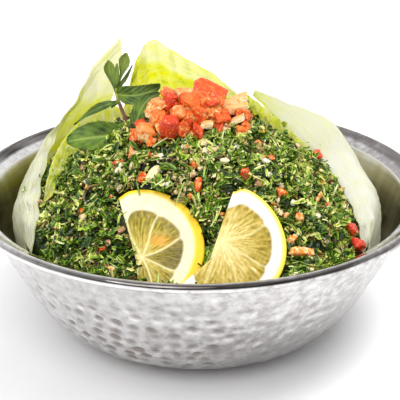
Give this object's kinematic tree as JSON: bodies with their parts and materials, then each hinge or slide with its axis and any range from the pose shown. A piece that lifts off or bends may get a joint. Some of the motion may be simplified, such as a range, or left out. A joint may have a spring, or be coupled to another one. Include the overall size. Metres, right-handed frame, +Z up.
{
  "type": "bowl of tabbouleh salad",
  "caption": "Hammered metal bowl heaped with chopped parsley and bulgur salad, lined with lettuce leaves, topped with diced tomato, a mint sprig and half slices of lemon.",
  "frame": {"origin": "centre of the bowl's foot, on the surface that it stands on", "axes": "+Z up, the lemon slices and the salad's front face -Y, +X to the right seen from the front"},
  "size_m": [0.22, 0.22, 0.133],
  "materials": {
    "bowl_metal": "light silver metal, hammered in small oval dimples outside, smooth satin inside, polished rolled rim",
    "salad": "moist chopped parsley, dark to bright green, with pale bulgur, tomato and onion bits",
    "tomato": "wet diced tomato, red to pale orange, with lighter flesh at the cut edges",
    "lettuce": "pale waxy green leaf with whitish ribs and veins, yellow-green inside",
    "mint": "dark green leaf with a soft sheen and fine sunken veins, green to purple-brown stem",
    "lemon": "bright yellow zest, white pith, wet translucent yellow flesh with radiating vesicles"
  },
  "bodies": {
    "root": {"bowl": "bowl_metal", "tabbouleh": "salad", "tomato_topping": "tomato", "lettuce_right": "lettuce", "lettuce_back": "lettuce", "lettuce_left": "lettuce", "mint_sprig": "mint", "lemon_left": "lemon", "lemon_right": "lemon"}
  },
  "joints": []
}
